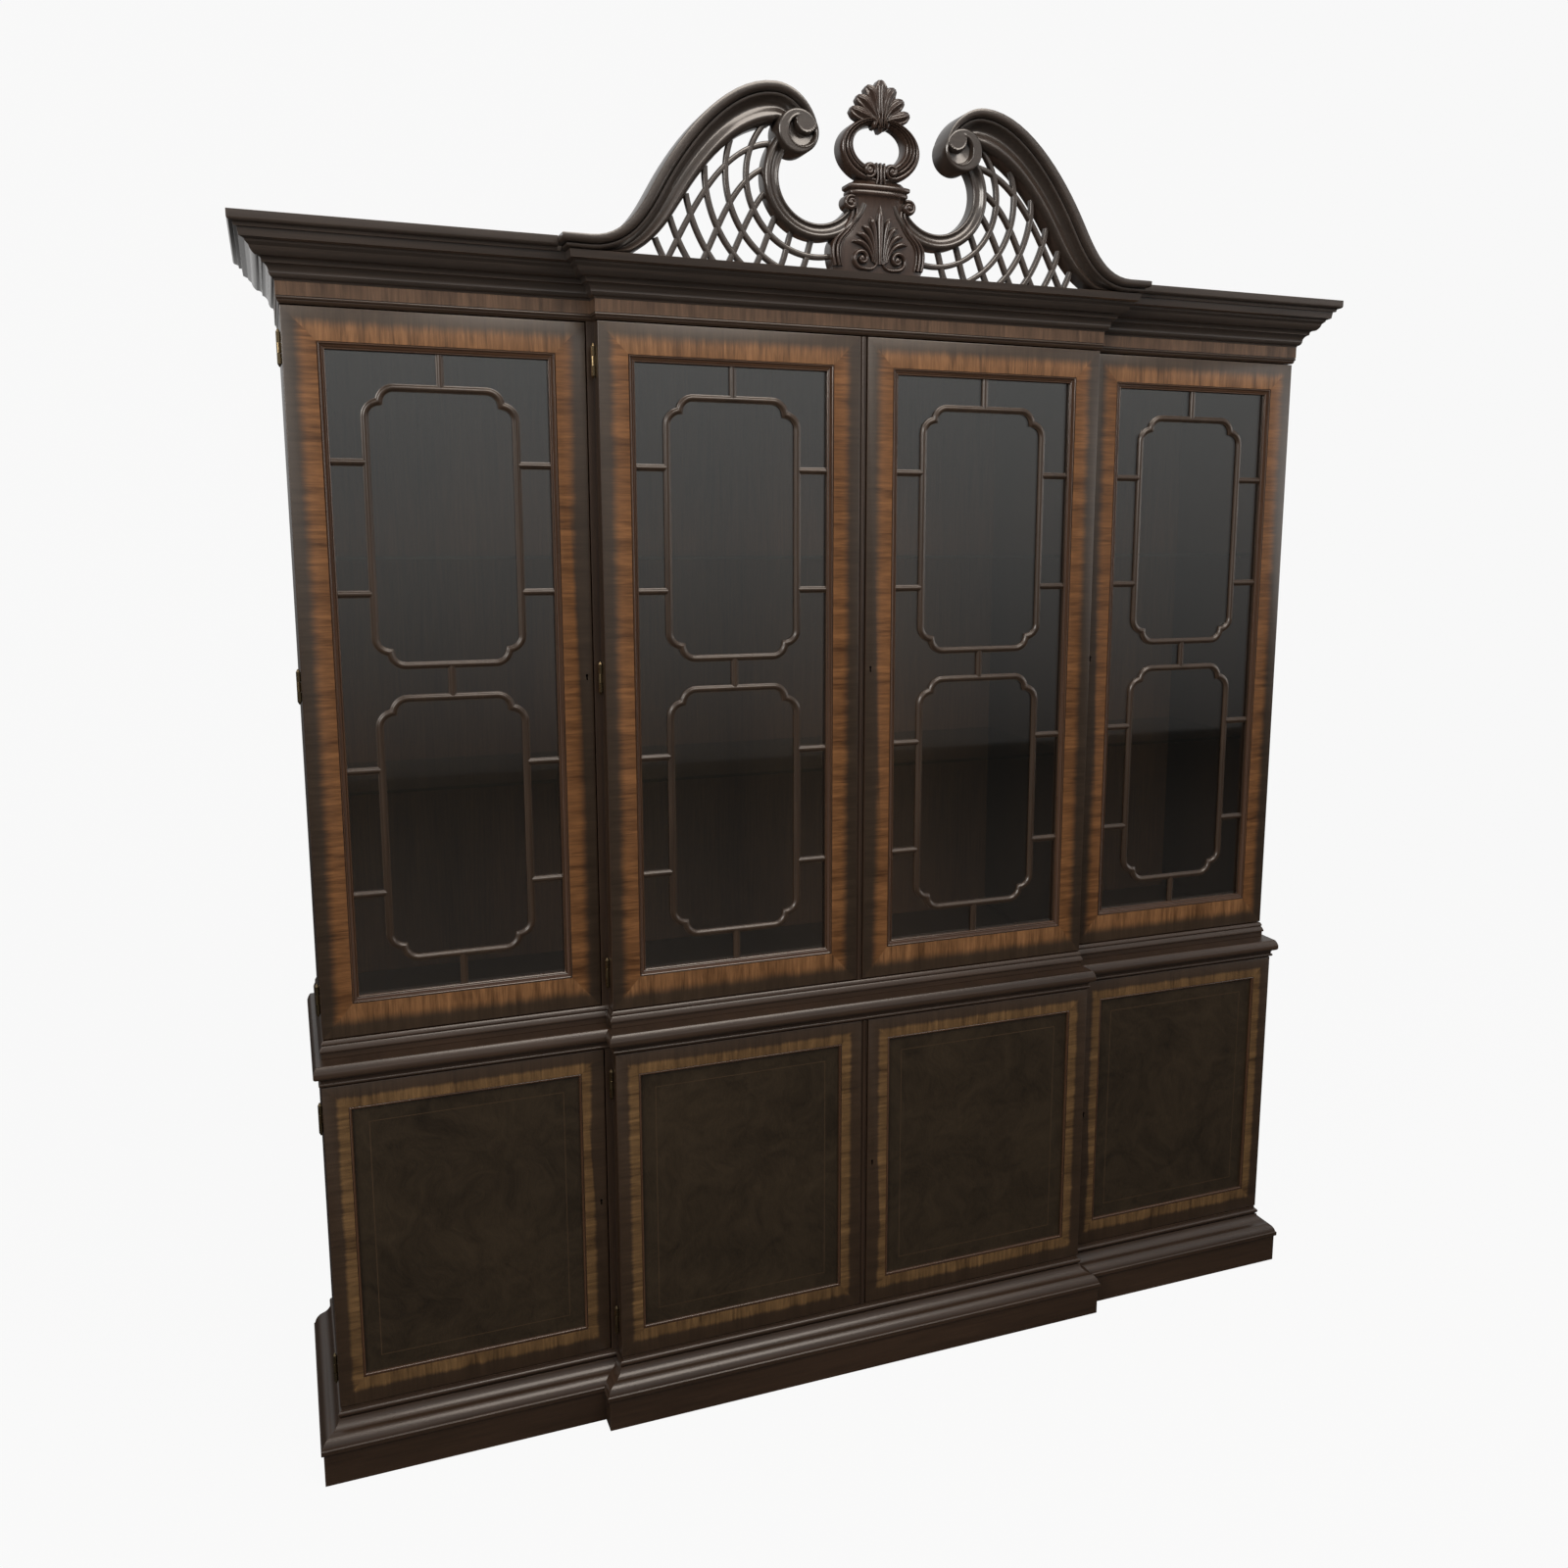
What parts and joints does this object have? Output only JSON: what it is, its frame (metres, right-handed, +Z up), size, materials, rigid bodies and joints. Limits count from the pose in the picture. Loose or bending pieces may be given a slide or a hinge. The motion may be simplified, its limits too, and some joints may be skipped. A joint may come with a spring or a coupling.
{
  "type": "china cabinet",
  "caption": "Breakfront china cabinet: a glazed deck over a cupboard base, hinged doors with cusped frets, and a pierced swan-neck pediment with a carved finial.",
  "frame": {"origin": "centre of the bounding box at floor level, under the plinth", "axes": "+Z up, +Y towards the back, +X to the right of someone facing the doors"},
  "size_m": [2.137, 0.4754, 2.4704],
  "materials": {
    "mahogany": "satin dark polish",
    "satinwood": "satin golden banding",
    "inner_wood": "plain satin",
    "glass": "clear",
    "brass": "aged"
  },
  "bodies": {
    "case": {"base_back": "inner_wood", "base_bottom": "inner_wood", "base_partition_left": "mahogany", "base_partition_right": "mahogany", "base_shelf_centre": "inner_wood", "base_shelf_left": "inner_wood", "base_shelf_right": "inner_wood", "base_side_left": "mahogany", "base_side_right": "mahogany", "base_top": "mahogany", "cornice": "mahogany", "deck_back": "inner_wood", "deck_base": "mahogany", "deck_partition_left": "mahogany", "deck_partition_right": "mahogany", "deck_shelf_centre_1": "glass", "deck_shelf_centre_2": "glass", "deck_shelf_left_1": "glass", "deck_shelf_left_2": "glass", "deck_shelf_right_1": "glass", "deck_shelf_right_2": "glass", "deck_side_left": "mahogany", "deck_side_right": "mahogany", "deck_top": "inner_wood", "finial": "mahogany", "fretwork_left": "mahogany", "fretwork_right": "mahogany", "frieze": "satinwood", "plinth": "mahogany", "swan_neck_left": "mahogany", "swan_neck_right": "mahogany"},
    "base_door_wing_left": {"base_door_frame_wing_left": "mahogany", "base_panel_wing_left": "mahogany"},
    "base_bolt_wing_left": {"base_lock_bolt_wing_left": "brass"},
    "base_door_centre_left": {"base_door_frame_centre_left": "mahogany", "base_panel_centre_left": "mahogany", "base_astragal": "mahogany"},
    "base_door_centre_right": {"base_door_frame_centre_right": "mahogany", "base_panel_centre_right": "mahogany"},
    "base_bolt_centre_right": {"base_lock_bolt_centre_right": "brass"},
    "base_door_wing_right": {"base_door_frame_wing_right": "mahogany", "base_panel_wing_right": "mahogany"},
    "base_bolt_wing_right": {"base_lock_bolt_wing_right": "brass"},
    "deck_door_wing_left": {"deck_door_frame_wing_left": "mahogany", "deck_pane_wing_left": "glass", "fret_wing_left": "mahogany"},
    "deck_bolt_wing_left": {"deck_lock_bolt_wing_left": "brass"},
    "deck_door_centre_left": {"deck_door_frame_centre_left": "mahogany", "deck_pane_centre_left": "glass", "fret_centre_left": "mahogany", "deck_astragal": "mahogany"},
    "deck_door_centre_right": {"deck_door_frame_centre_right": "mahogany", "deck_pane_centre_right": "glass", "fret_centre_right": "mahogany"},
    "deck_bolt_centre_right": {"deck_lock_bolt_centre_right": "brass"},
    "deck_door_wing_right": {"deck_door_frame_wing_right": "mahogany", "deck_pane_wing_right": "glass", "fret_wing_right": "mahogany"},
    "deck_bolt_wing_right": {"deck_lock_bolt_wing_right": "brass"}
  },
  "joints": [
    {"name": "base_door_wing_left_hinge", "type": "hinge", "parent": "case", "child": "base_door_wing_left", "pos_m": [-1.011, -0.13975, 0.124], "axis": [0, 0, 1], "range_deg": [-110, 0]},
    {"name": "base_bolt_wing_left_slide", "type": "slide", "parent": "base_door_wing_left", "child": "base_bolt_wing_left", "axis": [1, 0, 0], "range_m": [0, 0.008]},
    {"name": "base_door_centre_left_hinge", "type": "hinge", "parent": "case", "child": "base_door_centre_left", "pos_m": [-0.507, -0.17775, 0.124], "axis": [0, 0, 1], "range_deg": [-110, 0]},
    {"name": "base_door_centre_right_hinge", "type": "hinge", "parent": "case", "child": "base_door_centre_right", "pos_m": [0.507, -0.17775, 0.124], "axis": [0, 0, 1], "range_deg": [0, 110]},
    {"name": "base_bolt_centre_right_slide", "type": "slide", "parent": "base_door_centre_right", "child": "base_bolt_centre_right", "axis": [-1, 0, 0], "range_m": [0, 0.008]},
    {"name": "base_door_wing_right_hinge", "type": "hinge", "parent": "case", "child": "base_door_wing_right", "pos_m": [1.011, -0.13975, 0.124], "axis": [0, 0, 1], "range_deg": [0, 110]},
    {"name": "base_bolt_wing_right_slide", "type": "slide", "parent": "base_door_wing_right", "child": "base_bolt_wing_right", "axis": [-1, 0, 0], "range_m": [0, 0.008]},
    {"name": "deck_door_wing_left_hinge", "type": "hinge", "parent": "case", "child": "deck_door_wing_left", "pos_m": [-1.004, -0.10775, 0.8063], "axis": [0, 0, 1], "range_deg": [-110, 0]},
    {"name": "deck_bolt_wing_left_slide", "type": "slide", "parent": "deck_door_wing_left", "child": "deck_bolt_wing_left", "axis": [1, 0, 0], "range_m": [0, 0.008]},
    {"name": "deck_door_centre_left_hinge", "type": "hinge", "parent": "case", "child": "deck_door_centre_left", "pos_m": [-0.503, -0.14575, 0.8063], "axis": [0, 0, 1], "range_deg": [-110, 0]},
    {"name": "deck_door_centre_right_hinge", "type": "hinge", "parent": "case", "child": "deck_door_centre_right", "pos_m": [0.503, -0.14575, 0.8063], "axis": [0, 0, 1], "range_deg": [0, 110]},
    {"name": "deck_bolt_centre_right_slide", "type": "slide", "parent": "deck_door_centre_right", "child": "deck_bolt_centre_right", "axis": [-1, 0, 0], "range_m": [0, 0.008]},
    {"name": "deck_door_wing_right_hinge", "type": "hinge", "parent": "case", "child": "deck_door_wing_right", "pos_m": [1.004, -0.10775, 0.8063], "axis": [0, 0, 1], "range_deg": [0, 110]},
    {"name": "deck_bolt_wing_right_slide", "type": "slide", "parent": "deck_door_wing_right", "child": "deck_bolt_wing_right", "axis": [-1, 0, 0], "range_m": [0, 0.008]}
  ]
}
